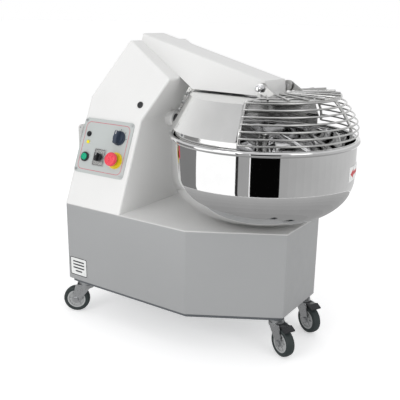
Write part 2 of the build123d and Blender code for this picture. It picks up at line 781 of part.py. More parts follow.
with BuildPart() as bowl_spindle:
    with BuildSketch(Plane.XY.offset(BOWL_BOX_LOW + WALL + 1)):
        Circle(SPINDLE_R)
    extrude(amount=BOWL_BOTTOM - BOWL_BOX_LOW - WALL - 1)
    tips = Plane(origin=(0, 0, DRIVE_Z + BOWL_PINION_R + MESH_GAP), z_dir=(0, 0, -1))
    add(crown_wheel(tips, BOWL_WHEEL_R, 28, SPINDLE_R))
save(bowl_spindle.part, "bowl_spindle")

with BuildPart() as bowl_gearbox:
    add(shell_box(Plane.XY.offset(BOWL_BOX_LOW), BOWL_BOX[:2], BOWL_BOX[2]))
    with BuildSketch(Plane.XY.offset(BOWL_BOX_LOW + BOWL_BOX[2] - WALL - 1)):
        Circle(30)
    extrude(amount=WALL + 2, mode=Mode.SUBTRACT)
    with BuildSketch(across_x(-BOWL_BOX[0] / 2 - 1, 0, DRIVE_Z)):
        Circle(INPUT_R + 0.05)
    extrude(amount=WALL + 2, mode=Mode.SUBTRACT)
    # two feet down to the floor tray
    with BuildSketch(Plane.XY.offset(TRAY_BOTTOM + 4)):
        with Locations((0, -50), (0, 50)):
            Rectangle(150, 24)
    extrude(amount=BOWL_BOX_LOW - TRAY_BOTTOM - 4)
save(bowl_gearbox.part, "bowl_gearbox")

with BuildPart() as bowl_bearing:
    with BuildSketch(Plane.XY.offset(BOWL_BOX_LOW + BOWL_BOX[2] - WALL)):
        Circle(30)
        Circle(SPINDLE_R + 0.05, mode=Mode.SUBTRACT)
    extrude(amount=WALL)
    with BuildSketch(Plane.XY.offset(BOWL_BOX_LOW + BOWL_BOX[2])):
        Circle(SPINDLE_HOLE_R + 14)
        Circle(SPINDLE_R + 0.05, mode=Mode.SUBTRACT)
    extrude(amount=DECK - SHEET - BOWL_BOX_LOW - BOWL_BOX[2])
save(bowl_bearing.part, "bowl_bearing")

# ---------------------------------------------------------------- motor and belts
MOTOR_R = 72.0
MOTOR_FROM = 45.0
MOTOR_LENGTH = 165.0

with BuildPart() as motor:
    with BuildSketch(across_x(MOTOR_FROM, DRIVE_Y, DRIVE_Z)):
        Circle(MOTOR_R)
    extrude(amount=MOTOR_LENGTH)
    fillet(motor.edges().filter_by(GeomType.CIRCLE), 8)
    with BuildSketch(across_x(MOTOR_FROM + 20, DRIVE_Y, DRIVE_Z)):
        with PolarLocations(MOTOR_R + 3, 24):
            Rectangle(8, 2.5)
    extrude(amount=MOTOR_LENGTH - 60)
    with BuildSketch(across_x(MOTOR_FROM - 1, DRIVE_Y, DRIVE_Z)):
        Circle(INPUT_R + 0.05)
    extrude(amount=60, mode=Mode.SUBTRACT)
    with BuildSketch(Plane.XY.offset(TRAY_BOTTOM + 4)):
        with Locations((MOTOR_FROM + 40, DRIVE_Y), (MOTOR_FROM + 120, DRIVE_Y)):
            Rectangle(30, 150)
    extrude(amount=12)
    with BuildSketch(Plane.XY.offset(TRAY_BOTTOM + 16)):
        with Locations((MOTOR_FROM + 40, DRIVE_Y), (MOTOR_FROM + 120, DRIVE_Y)):
            Rectangle(24, 90)
    extrude(amount=DRIVE_Z - MOTOR_R + 6 - TRAY_BOTTOM - 16)
save(motor.part, "motor")

with BuildPart() as motor_drive:
    with BuildSketch(across_x(BOWL_BELT_X - 15, DRIVE_Y, DRIVE_Z)):
        Circle(INPUT_R)
    extrude(amount=MOTOR_FROM + 50 - BOWL_BELT_X + 15)
    for x in (FORK_BELT_X, BOWL_BELT_X):
        add(pulley(across_x(x, DRIVE_Y, DRIVE_Z), MOTOR_PULLEY_R, INPUT_R))
save(motor_drive.part, "motor_drive")

motor_at = (DRIVE_Y, DRIVE_Z)
fork_belt = belt(
    FORK_BELT_X, motor_at, MOTOR_PULLEY_R, (gearbox_at.Y, gearbox_at.Z), FORK_PULLEY_R
)
save(fork_belt, "fork_belt")
bowl_belt = belt(BOWL_BELT_X, motor_at, MOTOR_PULLEY_R, (0, DRIVE_Z), BOWL_PULLEY_R)
save(bowl_belt, "bowl_belt")

# ---------------------------------------------------------------- hinged wire guard
BAR_R = 4.0
BAR_HALF = GUARD_HALF - 1.6  # the end bars stand clear of the fixed guard's edges
CHORD = (-52.0, 690.0)  # y and z of the straight rear bar
CHORD_R = 3.2
RIB_INSET = 3.0
BAND = (174.0, 201.0, 690.0, 692.5)
BAND_HALF = 70.0
GRID_RINGS = (140.0, 105.0, 70.0)
ARM_P = 62.0

with BuildPart() as wire_guard:
    # straight rear bar and the two hinge arms
    reach = (RINGS[-1][0] - RIB_INSET) * sin(radians(BAR_HALF))
    with BuildSketch(Plane(origin=(-reach, *CHORD), z_dir=(1, 0, 0))):
        Circle(CHORD_R)
    extrude(amount=2 * reach)
    for side in (-1, 1):
        inner = ARM_P if side > 0 else -ARM_P - LUG_THICK
        with BuildSketch(head_side_plane(inner)):
            with Locations((HINGE_Q, HINGE_Z)):
                Circle(13)
            with Locations((HINGE_Q - 36, CHORD[1] + 3.3)):
                Circle(8.3)
            make_hull()
            with Locations((HINGE_Q, HINGE_Z)):
                Circle(PIVOT_R, mode=Mode.SUBTRACT)
        extrude(amount=LUG_THICK)
    # rings down the side and over the top
    for radius, z in RINGS:
        with BuildSketch(half_plane(-90 - BAR_HALF)):
            with Locations((radius, z)):
                Circle(WIRE_R)
        revolve(axis=Axis.Z, revolution_arc=2 * BAR_HALF)
    for radius in GRID_RINGS:
        half = degrees(acos(-CHORD[0] / radius))
        with BuildSketch(half_plane(-90 - half)):
            with Locations((radius, BAND[2] + 0.8)):
                Circle(WIRE_R)
        revolve(axis=Axis.Z, revolution_arc=2 * half)
    for angle in range(-60, 61, 15):
        inner = max(GRID_RINGS[-1], -CHORD[0] / cos(radians(angle)))
        outward = half_plane(angle - 90)
        start = outward.from_local_coords((inner, BAND[3] + WIRE_R, 0))
        with BuildSketch(Plane(origin=start, z_dir=outward.x_dir)):
            Circle(WIRE_R)
        extrude(amount=BAND[1] - 3 - inner)
    # upright ribs at the middle and both ends
    for angle in (-BAR_HALF, 0, BAR_HALF):
        with BuildLine(half_plane(angle - 90)) as rib:
            Spline(*[(radius - RIB_INSET, z - 1) for radius, z in RINGS])
        with BuildSketch(Plane(origin=rib.line @ 0, z_dir=rib.line % 0)):
            Circle(BAR_R)
        sweep(path=rib.line)
save(wire_guard.part, "wire_guard")

with BuildPart() as guard_top_band:
    with BuildSketch(half_plane(-90 - BAND_HALF)):
        with Locations(((BAND[0] + BAND[1]) / 2, (BAND[2] + BAND[3]) / 2)):
            Rectangle(BAND[1] - BAND[0], BAND[3] - BAND[2])
    revolve(axis=Axis.Z, revolution_arc=2 * BAND_HALF)
    add(wire_guard.part, mode=Mode.SUBTRACT)
save(guard_top_band.part, "guard_top_band")



def pivot_plane(across, p):
    """Plane square to the hinge line, p out from the middle of the head."""
    origin = across * p + head_along * HINGE_Q + Vector(0, 0, HINGE_Z)
    return Plane(origin=origin, x_dir=head_along, z_dir=across)


with BuildPart() as guard_pivots:
    for side in (-1, 1):
        across = head_across * side
        with BuildSketch(pivot_plane(across, LUG_P - 0.3)):
            Circle(PIVOT_R)
        extrude(amount=16)
        with BuildSketch(pivot_plane(across, ARM_P + LUG_THICK)):
            Circle(12)
        extrude(amount=1.5)
        with BuildSketch(pivot_plane(across, ARM_P + LUG_THICK + 1.5)):
            RegularPolygon(11, 6)
        extrude(amount=8)
        with BuildSketch(pivot_plane(across, ARM_P + LUG_THICK + 9.5)):
            Circle(9)
        extrude(amount=8)
        fillet(guard_pivots.edges().filter_by(GeomType.CIRCLE).group_by(Axis(across, across))[-1], 7.5)
save(guard_pivots.part, "guard_pivots")

# ---------------------------------------------------------------- controls on the leaning side
ESTOP = (374.9, 148.2)  # y, and distance up the slope
START = (490.4, 145.0)
RESET = (495.3, 213.4)
LAMP = (492.2, 189.7)
ROTARY = (379.3, 213.4)
SELECTOR = (437.6, 149.2)
PIN_R = 5.0


def on_side(place, out=0.0):
    """Plane parallel to the leaning side, centred on a control and raised off the sheet."""
    origin = side_face.from_local_coords((-place[0], place[1], out))
    return Plane(origin=origin, x_dir=(0, -1, 0), z_dir=lean_normal)


def disc(place, start, end, radius, bore=0.0):
    """Round piece standing on the leaning side between two heights."""
    with BuildPart(mode=Mode.PRIVATE) as piece:
        with BuildSketch(on_side(place, start)):
            Circle(radius)
            if bore:
                Circle(bore, mode=Mode.SUBTRACT)
        extrude(amount=end - start)
    return piece.part


screw_x = PANEL_SIZE[0] / 2 - 8
screw_y = PANEL_SIZE[1] / 2 - 8
panel_centre = (PANEL_Y, PANEL_UP)

with BuildPart() as control_plate:
    with BuildSketch(on_side(panel_centre)):
        RectangleRounded(*PANEL_SIZE, PANEL_CORNER)
    extrude(amount=PLATE)
    holes = ((ESTOP, 9.3), (START, 10.3), (RESET, 5.8), (ROTARY, 8), (SELECTOR, 8))
    for place, radius in holes:
        with BuildSketch(on_side(place)):
            Circle(radius)
        extrude(amount=PLATE, mode=Mode.SUBTRACT)
    with BuildSketch(on_side(panel_centre)):
        with GridLocations(2 * screw_x, 2 * screw_y, 2, 2):
            Circle(2)
    extrude(amount=PLATE, mode=Mode.SUBTRACT)
save(control_plate.part, "control_plate")

with BuildPart() as panel_screws:
    with BuildSketch(on_side(panel_centre)):
        with GridLocations(2 * screw_x, 2 * screw_y, 2, 2):
            Circle(2)
    extrude(amount=PLATE)
    with BuildSketch(on_side(panel_centre, PLATE)):
        with GridLocations(2 * screw_x, 2 * screw_y, 2, 2):
            Circle(3.8)
    extrude(amount=1.8)
    with BuildSketch(on_side(panel_centre, PLATE + 0.6)):
        with GridLocations(2 * screw_x, 2 * screw_y, 2, 2):
            Rectangle(5, 1.1)
    extrude(amount=2, mode=Mode.SUBTRACT)
save(panel_screws.part, "panel_screws")

with BuildPart() as estop_collar:
    add(disc(ESTOP, PLATE, PLATE + 3, 24, 9.3))
    add(disc(ESTOP, PLATE + 3, PLATE + 5, 16, 9.3))
save(estop_collar.part, "estop_collar")

with BuildPart() as estop_stem:
    add(disc(ESTOP, -12, 21, 9))
    add(disc(ESTOP, 13, 21, 13))
save(estop_stem.part, "estop_stem")

with BuildPart() as estop_button:
    add(disc(ESTOP, 21, 31, 20))
    top = estop_button.faces().sort_by(Axis((0, 0, 0), lean_normal))[-1]
    fillet(top.edges(), 6)
save(estop_button.part, "estop_button")

with BuildPart() as switch_bezels:
    add(disc(START, PLATE, PLATE + 5, 14, 10.3))
    add(disc(RESET, PLATE, PLATE + 2.5, 8, 5.8))
save(switch_bezels.part, "switch_bezels")

with BuildPart() as start_button:
    add(disc(START, -6, PLATE + 8.5, 10))
    top = start_button.faces().sort_by(Axis((0, 0, 0), lean_normal))[-1]
    fillet(top.edges(), 1.5)
save(start_button.part, "start_button")

with BuildPart() as reset_button:
    add(disc(RESET, -6, PLATE + 5, 5.5))
    top = reset_button.faces().sort_by(Axis((0, 0, 0), lean_normal))[-1]
    fillet(top.edges(), 1)
save(reset_button.part, "reset_button")

with BuildPart() as rotary_base:
    add(disc(ROTARY, PLATE, PLATE + 5, 21, PIN_R + 0.05))
save(rotary_base.part, "rotary_base")

with BuildPart() as rotary_knob:
    add(disc(ROTARY, -6, PLATE + 6, PIN_R))
    add(disc(ROTARY, PLATE + 5.3, PLATE + 8, 17.5))
    with BuildSketch(on_side(ROTARY, PLATE + 8)):
        SlotOverall(38, 11, rotation=90)
    extrude(amount=13)
save(rotary_knob.part, "rotary_knob")

with BuildPart() as selector_plate:
    with BuildSketch(on_side(SELECTOR, PLATE)):
        RectangleRounded(42, 50, 3)
        Circle(PIN_R + 0.05, mode=Mode.SUBTRACT)
    extrude(amount=2)
save(selector_plate.part, "selector_plate")

with BuildPart() as selector_knob:
    add(disc(SELECTOR, -6, PLATE + 3, PIN_R))
    add(disc(SELECTOR, PLATE + 2.3, PLATE + 9, 12))
    with BuildSketch(on_side(SELECTOR, PLATE + 9)):
        SlotOverall(25, 8, rotation=90)
    extrude(amount=8)
save(selector_knob.part, "selector_knob")

with BuildPart() as status_light:
    with BuildSketch(on_side(LAMP, PLATE)):
        RectangleRounded(9, 9, 1)
    extrude(amount=3)
save(status_light.part, "status_light")

with BuildPart() as control_box:
    with BuildSketch(on_side(panel_centre)):
        RectangleRounded(146, 126, 6)
    extrude(amount=-60)
    with BuildSketch(on_side(panel_centre)):
        RectangleRounded(142, 122, 4)
    extrude(amount=-58, mode=Mode.SUBTRACT)
save(control_box.part, "control_box")

gland_plane = Plane(origin=(GLAND[0], REAR_Y, GLAND[1]), x_dir=(-1, 0, 0), z_dir=(0, 1, 0))
with BuildPart() as cable_gland:
    with BuildSketch(gland_plane):
        RegularPolygon(12, 6)
    extrude(amount=5)
    with BuildSketch(gland_plane.offset(5)):
        Circle(10)
    extrude(amount=10)
    fillet(cable_gland.faces().sort_by(Axis.Y)[-1].edges(), 3)
    with BuildSketch(gland_plane.offset(-10)):
        Circle(8)
    extrude(amount=10)
    with BuildSketch(gland_plane.offset(-10)):
        Circle(5)
    extrude(amount=25, mode=Mode.SUBTRACT)
save(cable_gland.part, "cable_gland")

LABEL = (483.0, 153.0, 67.0, 57.0)  # centre y and z, length and height
with BuildPart() as label_plate:
    label_plane = Plane(origin=(-BASE_HALF, *LABEL[:2]), x_dir=(0, -1, 0), z_dir=(-1, 0, 0))
    with BuildSketch(label_plane):
        RectangleRounded(*LABEL[2:], 5)
    extrude(amount=0.6)
save(label_plate.part, "label_plate")

# ---------------------------------------------------------------- casters
RACE_Z = 90.4
PEDAL_PIN = (27.5, 85.0)
PEDAL_PIN_R = 2.5


def caster_frame(x, y, heading):
    """Upright plane through a kingpin: X towards the wheel, Y up and its normal along the axle."""
    a = radians(heading)
    return Plane(origin=(x, y, 0), x_dir=(cos(a), sin(a), 0), z_dir=(sin(a), -cos(a), 0))


with BuildPart() as caster_stems:
    for x, y in kingpin_places:
        for z, radius, length in ((74, 8, 6), (80, STEM_R, 34), (RACE_Z, 20, TRAY_BOTTOM - RACE_Z)):
            with BuildSketch(Plane(origin=(x, y, z))):
                Circle(radius)
            extrude(amount=length)
        with BuildSketch(Plane(origin=(x, y, TRAY_BOTTOM + 4))):
            RegularPolygon(11, 6)
        extrude(amount=8)
save(caster_stems.part, "caster_stems")


def caster_bracket(frame, pedal):
    """Fork bracket with its turning plate, legs, axle bolt and, where needed, the pedal pin."""
    with BuildPart(mode=Mode.PRIVATE) as bracket:
        for start in (13.5, -16.5):
            with BuildSketch(frame.offset(start)):
                with Locations((TRAIL, WHEEL_R)):
                    Circle(11)
                with Locations(PEDAL_PIN):
                    Circle(4.6)
                with Locations((0, 85)):
                    Rectangle(28, 8)
                make_hull()
            extrude(amount=3)
        with BuildSketch(Plane(origin=frame.origin + Vector(0, 0, 80), x_dir=frame.x_dir)):
            Circle(22)
            Circle(STEM_R + 0.05, mode=Mode.SUBTRACT)
        extrude(amount=10)
        rods = [((TRAIL, WHEEL_R), AXLE_R, 20)]
        if pedal:
            rods.append((PEDAL_PIN, PEDAL_PIN_R, 17.5))
        for place, radius, half in rods:
            with BuildSketch(frame.offset(-half)):
                with Locations(place):
                    Circle(radius)
            extrude(amount=2 * half)
        for start in (16.5, -20.5):
            with BuildSketch(frame.offset(start)):
                with Locations((TRAIL, WHEEL_R)):
                    RegularPolygon(8.5, 6)
            extrude(amount=4)
    return bracket.part


def caster_wheel(frame):
    """Hub and tyre as two solids on one axle."""
    with BuildPart(mode=Mode.PRIVATE) as hub:
        with BuildSketch(frame.offset(-11)):
            with Locations((TRAIL, WHEEL_R)):
                Circle(28)
        extrude(amount=22)
        for start in (-11, 7):
            with BuildSketch(frame.offset(start)):
                with Locations((TRAIL, WHEEL_R)):
                    Circle(24)
                    Circle(10, mode=Mode.SUBTRACT)
            extrude(amount=4, mode=Mode.SUBTRACT)
        with BuildSketch(frame.offset(-13)):
            with Locations((TRAIL, WHEEL_R)):
                Circle(9)
        extrude(amount=26)
        with BuildSketch(frame.offset(-13)):
            with Locations((TRAIL, WHEEL_R)):
                Circle(AXLE_R + 0.05)
        extrude(amount=26, mode=Mode.SUBTRACT)
    with BuildPart(mode=Mode.PRIVATE) as tyre:
        with BuildSketch(frame.offset(-WHEEL_WIDTH / 2)):
            with Locations((TRAIL, WHEEL_R)):
                Circle(WHEEL_R)
        extrude(amount=WHEEL_WIDTH)
        fillet(tyre.edges().filter_by(GeomType.CIRCLE), TYRE_ROUND)
        with BuildSketch(frame.offset(-WHEEL_WIDTH / 2)):
            with Locations((TRAIL, WHEEL_R)):
                Circle(28)
        extrude(amount=WHEEL_WIDTH, mode=Mode.SUBTRACT)
    return Compound(children=[hub.part, tyre.part])


def brake_pedal(frame):
    """Foot pedal that turns on a pin at the front of the bracket and reaches out over the tyre."""
    with BuildPart(mode=Mode.PRIVATE) as pedal:
        with BuildSketch(frame.offset(-13)):
            with Locations(PEDAL_PIN):
                Circle(4.5)
            with BuildLine():
                Polyline((28, 89), (44, 92), (60, 84), (60, 80.5), (44, 87.5), (29, 84), close=True)
            make_face()
            with Locations(PEDAL_PIN):
                Circle(PEDAL_PIN_R + 0.05, mode=Mode.SUBTRACT)
        extrude(amount=26)
        with BuildSketch(frame.offset(-17)):
            with BuildLine():
                Polyline((44, 92), (60, 84), (60, 80.5), (44, 87.5), close=True)
            make_face()
        extrude(amount=34)
    return pedal.part


for corner, (x, y, heading) in kingpins.items():
    frame = caster_frame(x, y, heading)
    braked = corner.startswith("front")
    save(caster_bracket(frame, braked), f"caster_bracket_{corner}")
    save(caster_wheel(frame), f"caster_wheel_{corner}")
    if braked:
        save(brake_pedal(frame), f"brake_pedal_{corner}")
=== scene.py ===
import bpy
import bmesh
import json
from math import cos, pi, radians, sin
from mathutils import Matrix, Vector


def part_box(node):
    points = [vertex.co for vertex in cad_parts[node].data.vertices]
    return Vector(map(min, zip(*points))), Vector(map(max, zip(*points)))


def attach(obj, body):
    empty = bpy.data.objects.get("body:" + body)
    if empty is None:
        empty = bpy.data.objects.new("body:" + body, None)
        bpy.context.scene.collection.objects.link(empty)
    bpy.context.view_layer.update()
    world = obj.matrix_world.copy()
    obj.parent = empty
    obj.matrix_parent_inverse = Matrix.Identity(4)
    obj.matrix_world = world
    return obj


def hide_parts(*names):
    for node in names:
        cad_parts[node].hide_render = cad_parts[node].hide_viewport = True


# Looks of a commercial fork dough mixer: materials on the CAD pieces, plus a spun bowl, moulded
# casters, printed panel lines and stickers made here. Metres, in the row frame.

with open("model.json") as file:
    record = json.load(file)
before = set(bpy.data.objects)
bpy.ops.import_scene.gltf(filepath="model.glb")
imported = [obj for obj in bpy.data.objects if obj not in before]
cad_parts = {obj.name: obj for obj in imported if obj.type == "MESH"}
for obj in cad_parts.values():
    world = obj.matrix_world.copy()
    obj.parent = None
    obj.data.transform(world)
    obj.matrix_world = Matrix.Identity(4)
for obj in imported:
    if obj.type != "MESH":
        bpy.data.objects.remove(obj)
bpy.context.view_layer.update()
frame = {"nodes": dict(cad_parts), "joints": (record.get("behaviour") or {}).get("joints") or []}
nodes = frame["nodes"]
joints = {joint["name"]: joint for joint in frame["joints"]}
MM = 0.001
POLE = 0.0001  # smallest radius of a turned piece, so that its middle is not one point


# ---------------------------------------------------------------- material building
class Surface:
    """A node material under construction, with object coordinates in metres."""

    def __init__(self, name, metallic=0.0, ior=1.5, coat=0.0, coat_roughness=0.1):
        self.material = bpy.data.materials.new(name)
        self.material.use_nodes = True
        self.tree = self.material.node_tree
        self.tree.nodes.clear()
        output = self.add("ShaderNodeOutputMaterial")
        self.shader = self.add("ShaderNodeBsdfPrincipled")
        self.link(self.shader.outputs["BSDF"], output.inputs["Surface"])
        self.shader.inputs["Metallic"].default_value = metallic
        self.shader.inputs["IOR"].default_value = ior
        self.shader.inputs["Coat Weight"].default_value = coat
        self.shader.inputs["Coat Roughness"].default_value = coat_roughness
        self.coordinates = self.add("ShaderNodeTexCoord").outputs["Object"]
        self.normal = None

    def add(self, kind, **values):
        node = self.tree.nodes.new(kind)
        for key, value in values.items():
            setattr(node, key, value)
        return node

    def link(self, start, end):
        self.tree.links.new(start, end)

    def noise(self, size, detail=3.0, stretch=(1, 1, 1), roughness=0.5):
        """Noise whose features are about size metres across, longer where stretch is small."""
        mapping = self.add("ShaderNodeMapping")
        mapping.inputs["Scale"].default_value = stretch
        self.link(self.coordinates, mapping.inputs["Vector"])
        texture = self.add("ShaderNodeTexNoise")
        texture.inputs["Scale"].default_value = 1 / size
        texture.inputs["Detail"].default_value = detail
        texture.inputs["Roughness"].default_value = roughness
        self.link(mapping.outputs["Vector"], texture.inputs["Vector"])
        return texture.outputs["Fac"]

    def spread(self, value, low, high, start=0.3, end=0.7):
        """Maps a noise value to a range."""
        node = self.add("ShaderNodeMapRange")
        node.inputs["From Min"].default_value = start
        node.inputs["From Max"].default_value = end
        node.inputs["To Min"].default_value = low
        node.inputs["To Max"].default_value = high
        self.link(value, node.inputs["Value"])
        return node.outputs["Result"]

    def mix(self, factor, first, second):
        """Colour between two colours, each a tuple or a socket."""
        node = self.add("ShaderNodeMix", data_type="RGBA")
        for socket, colour in ((node.inputs[6], first), (node.inputs[7], second)):
            if isinstance(colour, tuple):
                socket.default_value = (*colour, 1)
            else:
                self.link(colour, socket)
        self.link(factor, node.inputs[0])
        return node.outputs[2]

    def colour(self, value):
        self.link(value, self.shader.inputs["Base Color"])

    def roughness(self, value):
        self.link(value, self.shader.inputs["Roughness"])

    def bump(self, height, distance, strength=1.0):
        """Adds a bump; several calls are stacked."""
        node = self.add("ShaderNodeBump")
        node.inputs["Distance"].default_value = distance
        node.inputs["Strength"].default_value = strength
        self.link(height, node.inputs["Height"])
        if self.normal is not None:
            self.link(self.normal, node.inputs["Normal"])
        self.normal = node.outputs["Normal"]
        self.link(self.normal, self.shader.inputs["Normal"])

    def edge_wear(self, amount):
        """Factor that grows on convex edges."""
        geometry = self.add("ShaderNodeNewGeometry")
        return self.spread(geometry.outputs["Pointiness"], 0, amount, 0.5, 0.6)


def enamel(name, top, side=None, gloss=0.38):
    """Baked powder paint with a fine orange-peel skin; side, when given, is a darker colour painted on
    upright faces as painted shade.
    """
    s = Surface(name, coat=0.15, coat_roughness=0.25)
    cloud = s.spread(s.noise(0.25, 2), 0.0, 1.0)
    tone = s.mix(cloud, tuple(c * 0.97 for c in top), top)
    # painted shade: upright faces take the darker side colour, standing in for the dimmer light that falls
    # on them
    if side is not None:
        geometry = s.add("ShaderNodeNewGeometry")
        split = s.add("ShaderNodeSeparateXYZ")
        s.link(geometry.outputs["Normal"], split.inputs["Vector"])
        unshaded_top_mask = s.spread(split.outputs["Z"], 0, 1, 0.2, 0.9)
        painted_shade_tone = s.mix(cloud, tuple(c * 0.97 for c in side), side)
        tone = s.mix(unshaded_top_mask, painted_shade_tone, tone)
    s.colour(tone)
    s.roughness(s.spread(s.noise(0.03), gloss - 0.05, gloss + 0.07))
    s.bump(s.noise(0.0022, 2), 0.00012, 0.35)
    s.bump(s.noise(0.16, 1), 0.0015, 0.12)
    return s.material


def steel(name, colour, low, high, stretch=(1, 1, 1), grain=0.0012, depth=0.00003, wave=0.0):
    """Stainless sheet: grain stretched along one direction and slow changes of polish."""
    s = Surface(name, metallic=1.0)
    cloud = s.spread(s.noise(0.09, 3), 0, 1)
    s.colour(s.mix(cloud, tuple(c * 0.93 for c in colour), colour))
    fine = s.noise(grain, 3, stretch)
    s.roughness(s.spread(fine, low, high))
    s.bump(fine, depth, 0.5)
    if wave:
        s.bump(s.noise(0.11, 1), wave, 0.5)
    return s.material


def plastic(name, colour, roughness=0.35, grain=0.0008, depth=0.00005, coat=0.0, worn=0.12):
    """Moulded plastic with a fine grain, faint mottling and slightly paler edges."""
    s = Surface(name, coat=coat)
    mottled = s.mix(s.spread(s.noise(0.012), 0, 1), tuple(c * 0.88 for c in colour), colour)
    pale = tuple(min(1, c * 1.15 + 0.05) for c in colour)
    s.colour(s.mix(s.edge_wear(worn), mottled, pale))
    s.roughness(s.spread(s.noise(0.006), roughness - 0.05, roughness + 0.08))
    s.bump(s.noise(grain, 2), depth, 0.4)
    return s.material


def rubber(name, colour):
    """Tyre and belt rubber, dusty in patches."""
    s = Surface(name)
    dust = s.spread(s.noise(0.02, 4), 0, 0.35)
    s.colour(s.mix(dust, colour, tuple(c + 0.05 for c in colour)))
    s.roughness(s.spread(s.noise(0.01), 0.5, 0.72))
    s.bump(s.noise(0.0015, 3), 0.0001, 0.5)
    return s.material


def cast_paint(name, colour):
    """Rough grey casting under thick paint."""
    s = Surface(name)
    s.colour(s.mix(s.spread(s.noise(0.03, 4), 0, 1), tuple(c * 0.8 for c in colour), colour))
    s.roughness(s.spread(s.noise(0.01), 0.45, 0.65))
    s.bump(s.noise(0.004, 4), 0.0004, 0.5)
    return s.material


def lens(name, colour):
    s = Surface(name, coat=0.6)
    s.colour(s.mix(s.spread(s.noise(0.003), 0, 1), tuple(c * 0.85 for c in colour), colour))
    s.roughness(s.spread(s.noise(0.002), 0.15, 0.25))
    s.bump(s.noise(0.0015, 1, (1, 0.1, 1)), 0.0001, 0.4)
    return s.material


WHITE = (0.80, 0.80, 0.79)
# darker grey for the base's upright faces: painted shade for the dimmer light on them, not a second paint
PAINTED_SHADE_GREY = (0.33, 0.335, 0.338)
STEEL = (0.86, 0.86, 0.85)

white_enamel = enamel("white_enamel", WHITE)
base_enamel_painted_shade = enamel("base_enamel_painted_shade", WHITE, PAINTED_SHADE_GREY)
tray_paint = enamel("tray_paint", (0.10, 0.11, 0.12), gloss=0.5)
panel_paint = enamel("panel_paint", (0.50, 0.53, 0.52), gloss=0.42)
mirror = steel("mirror_steel", (0.80, 0.80, 0.80), 0.02, 0.05, (0.3, 0.3, 4), 0.002, 0.00001, 0.0006)
polished = steel("polished_steel", STEEL, 0.10, 0.18, (1, 1, 0.05), 0.0015, 0.00002, 0.0008)
brushed = steel("brushed_steel", (0.62, 0.62, 0.61), 0.22, 0.34, (0.05, 1, 1))
wire_steel = steel("drawn_wire", (0.64, 0.64, 0.63), 0.12, 0.22)
chrome = steel("chrome", (0.86, 0.86, 0.87), 0.03, 0.07)
zinc = steel("zinc_plate", (0.60, 0.61, 0.62), 0.25, 0.42, (1, 1, 1), 0.004)
machined = steel("machined_steel", (0.45, 0.45, 0.45), 0.25, 0.4)
black = plastic("black_plastic", (0.012, 0.013, 0.016), 0.3, worn=0.05)
blue_black = plastic("blue_black_plastic", (0.030, 0.045, 0.075), 0.35)
red = plastic("red_plastic", (0.85, 0.05, 0.085), 0.28, coat=0.3)
yellow = plastic("yellow_plastic", (0.86, 0.66, 0.02), 0.3)
green = plastic("green_plastic", (0.0, 0.42, 0.22), 0.25, coat=0.3)
nylon = plastic("grey_nylon", (0.20, 0.20, 0.21), 0.45)
hub_plastic = plastic("hub_plastic", (0.42, 0.43, 0.43), 0.4)
amber = lens("amber_lens", (0.95, 0.80, 0.02))
tyre_rubber = rubber("tyre_rubber", (0.012, 0.022, 0.022))
belt_rubber = rubber("belt_rubber", (0.01, 0.01, 0.01))
casting = cast_paint("casting", (0.16, 0.17, 0.18))
film = plastic("sticker_film", (0.78, 0.79, 0.78), 0.35, worn=0.0)
red_ink = plastic("red_ink", (0.55, 0.02, 0.03), 0.4, worn=0.0)
border_ink = plastic("border_ink", (0.60, 0.10, 0.14), 0.4, worn=0.0)
black_ink = plastic("black_ink", (0.02, 0.02, 0.025), 0.4, worn=0.0)
white_ink = plastic("white_ink", (0.8, 0.8, 0.8), 0.4, worn=0.0)

FINISH = {
    white_enamel: ("column_shell", "rear_cover", "head_cover", "switch_boss"),
    base_enamel_painted_shade: ("base_shell",),
    tray_paint: ("base_tray", "head_frame", "control_box"),
    panel_paint: ("control_plate",),
    polished: ("fixed_guard", "guard_flanges", "bowl_post"),
    brushed: ("hinge_lugs", "selector_plate", "guard_top_band"),
    chrome: ("guard_pivots", "fork"),
    wire_steel: ("wire_guard",),
    zinc: ("cover_screws", "panel_screws", "guard_bolts", "caster_stems"),
    machined: ("bowl_spindle", "fork_shaft", "fork_input", "bowl_input", "motor_drive"),
    # bowl_foot is a real cast foot; its dark casting colour also stands in for the shadow in the gap under
    # the bowl, as painted shade
    casting: ("motor", "fork_gearbox", "bowl_gearbox", "bowl_bearing", "bowl_foot"),
    belt_rubber: ("fork_belt", "bowl_belt"),
    black: ("black_plugs", "estop_stem", "switch_bezels", "selector_knob", "reset_button", "fork_seal"),
    blue_black: ("rotary_base", "rotary_knob"),
    red: ("estop_button",),
    yellow: ("estop_collar",),
    green: ("start_button",),
    amber: ("status_light",),
    nylon: ("cable_gland",),
    film: ("arrow_sticker", "label_plate"),
}


def finish_nodes():
    brackets = [name for name in nodes if name.startswith("caster_bracket")]
    pedals = [name for name in nodes if name.startswith("brake_pedal")]
    for material, names in [*FINISH.items(), (zinc, brackets), (black, pedals)]:
        for name in names:
            nodes[name].data.materials.clear()
            nodes[name].data.materials.append(material)


# ---------------------------------------------------------------- mesh building
def piece(name, mesh, material, body, smooth=True, stands_for=()):
    """Puts a bmesh in the scene as one piece that rides on a body."""
    data = bpy.data.meshes.new(name)
    bmesh.ops.remove_doubles(mesh, verts=mesh.verts, dist=1e-7)
    bmesh.ops.recalc_face_normals(mesh, faces=mesh.faces)
    mesh.to_mesh(data)
    mesh.free()
    if smooth:
        data.shade_smooth()
        data.set_sharp_from_angle(angle=radians(32))
    obj = bpy.data.objects.new(name, data)
    bpy.context.scene.collection.objects.link(obj)
    data.materials.append(material)
    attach(obj, body)
    if stands_for:
        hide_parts(*stands_for)
    return obj


